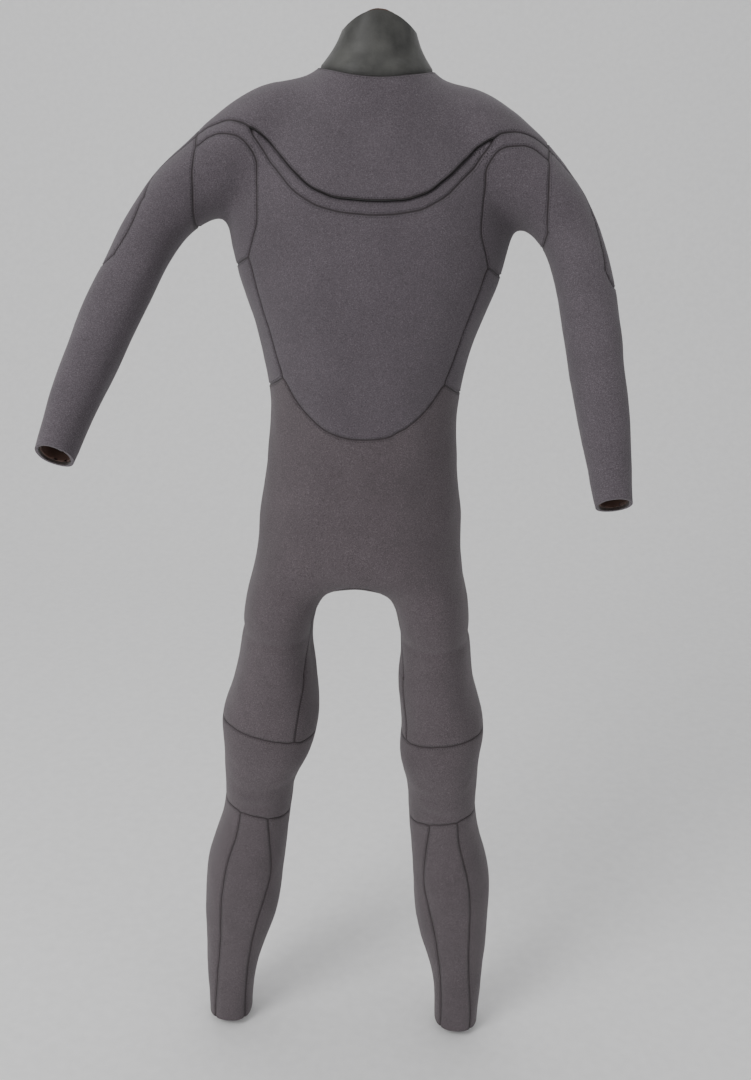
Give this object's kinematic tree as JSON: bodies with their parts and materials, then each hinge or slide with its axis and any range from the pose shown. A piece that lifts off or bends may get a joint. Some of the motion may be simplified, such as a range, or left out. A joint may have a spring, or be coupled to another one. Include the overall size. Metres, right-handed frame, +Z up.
{
  "type": "full wetsuit",
  "caption": "Full-length chest-zip wetsuit standing open as if worn, with panelled torso, sleeves and legs, a smooth collar, a short zip and joints that bend.",
  "frame": {"origin": "midway between the shoulders, where a hanger's neck passes inside the collar", "axes": "+Z up, the front of the suit faces -Y, the wearer's left is +X"},
  "size_m": [0.6561, 0.3705, 1.424],
  "materials": {
    "jersey": "knitted heather jersey on foam",
    "lower_jersey": "knitted heather jersey on foam",
    "smooth_skin": "smooth skin, low sheen",
    "seal_skin": "soft smooth lining",
    "tape_cloth": "woven tape",
    "plastic": "satin"
  },
  "bodies": {
    "torso": {"back_panel": "jersey", "chest_band": "jersey", "chest_panel": "jersey", "crotch_gusset": "lower_jersey", "entry_flap": "seal_skin", "hanging_loop": "tape_cloth", "hip_flex_left": "lower_jersey", "hip_flex_right": "lower_jersey", "key_loop": "tape_cloth", "key_pocket": "tape_cloth", "lower_front_panel": "lower_jersey", "neck_collar": "smooth_skin", "neck_seal": "seal_skin", "seat_panel": "lower_jersey", "shoulder_flex_left": "jersey", "shoulder_flex_right": "jersey", "shoulder_point_left": "jersey", "shoulder_point_right": "jersey", "shoulder_yoke": "jersey", "side_panel_left": "jersey", "side_panel_right": "jersey", "underarm_gusset_left": "jersey", "underarm_gusset_right": "jersey", "zip_stop_left": "plastic", "zip_stop_right": "plastic", "zip_tape_lower": "tape_cloth", "zip_tape_upper": "tape_cloth", "zip_teeth_lower": "plastic", "zip_teeth_upper": "plastic"},
    "zip_slider": {"zip_slider": "plastic"},
    "zip_pull": {"zip_pull": "plastic"},
    "upper_arm_right": {"upper_sleeve_right": "jersey", "elbow_flex_right": "jersey"},
    "forearm_right": {"forearm_sleeve_right": "jersey", "wrist_seal_right": "seal_skin"},
    "thigh_right": {"thigh_inner_right": "lower_jersey", "thigh_front_right": "lower_jersey", "thigh_back_right": "lower_jersey", "knee_panel_right": "lower_jersey", "knee_back_right": "lower_jersey"},
    "shin_right": {"shin_panel_right": "lower_jersey", "calf_panel_right": "lower_jersey", "ankle_seal_right": "seal_skin"},
    "upper_arm_left": {"upper_sleeve_left": "jersey", "elbow_flex_left": "jersey"},
    "forearm_left": {"forearm_sleeve_left": "jersey", "wrist_seal_left": "seal_skin"},
    "thigh_left": {"thigh_inner_left": "lower_jersey", "thigh_front_left": "lower_jersey", "thigh_back_left": "lower_jersey", "knee_panel_left": "lower_jersey", "knee_back_left": "lower_jersey"},
    "shin_left": {"shin_panel_left": "lower_jersey", "calf_panel_left": "lower_jersey", "ankle_seal_left": "seal_skin"}
  },
  "joints": [
    {"name": "zip_slide", "type": "slide", "parent": "torso", "child": "zip_slider", "axis": [1, 0, 0], "range_m": [0, 0.102]},
    {"name": "zip_pull_swing", "type": "hinge", "parent": "zip_slider", "child": "zip_pull", "pos_m": [-0.051, -0.07215, -0.09886], "axis": [0, -0.228, -0.9737], "range_deg": [0, 14]},
    {"name": "shoulder_right", "type": "hinge", "parent": "torso", "child": "upper_arm_right", "pos_m": [-0.252, -0.045, -0.17], "axis": [0, 1, 0], "range_deg": [-8, 40], "stiffness_Nm_per_rad": 8, "deforming": ["shoulder_flex_right", "shoulder_point_right", "underarm_gusset_right"]},
    {"name": "elbow_right", "type": "hinge", "parent": "upper_arm_right", "child": "forearm_right", "pos_m": [-0.289, -0.112, -0.252], "axis": [-1, 0, 0], "range_deg": [-10, 60], "stiffness_Nm_per_rad": 4, "deforming": ["elbow_flex_right"]},
    {"name": "hip_right", "type": "hinge", "parent": "torso", "child": "thigh_right", "pos_m": [-0.102, 0.004, -0.703], "axis": [-1, 0, 0], "range_deg": [-10, 35], "stiffness_Nm_per_rad": 15, "deforming": ["hip_flex_right"]},
    {"name": "knee_right", "type": "hinge", "parent": "thigh_right", "child": "shin_right", "pos_m": [-0.126, 0.002, -0.9], "axis": [1, 0, 0], "range_deg": [0, 60], "stiffness_Nm_per_rad": 6, "deforming": ["knee_panel_right", "knee_back_right"]},
    {"name": "shoulder_left", "type": "hinge", "parent": "torso", "child": "upper_arm_left", "pos_m": [0.236, -0.045, -0.165], "axis": [0, -1, 0], "range_deg": [-8, 40], "stiffness_Nm_per_rad": 8, "deforming": ["shoulder_flex_left", "shoulder_point_left", "underarm_gusset_left"]},
    {"name": "elbow_left", "type": "hinge", "parent": "upper_arm_left", "child": "forearm_left", "pos_m": [0.259, -0.108, -0.245], "axis": [-1, 0, 0], "range_deg": [-10, 60], "stiffness_Nm_per_rad": 4, "deforming": ["elbow_flex_left"]},
    {"name": "hip_left", "type": "hinge", "parent": "torso", "child": "thigh_left", "pos_m": [0.102, 0.004, -0.703], "axis": [-1, 0, 0], "range_deg": [-10, 35], "stiffness_Nm_per_rad": 15, "deforming": ["hip_flex_left"]},
    {"name": "knee_left", "type": "hinge", "parent": "thigh_left", "child": "shin_left", "pos_m": [0.126, 0.002, -0.9], "axis": [1, 0, 0], "range_deg": [0, 60], "stiffness_Nm_per_rad": 6, "deforming": ["knee_panel_left", "knee_back_left"]}
  ]
}
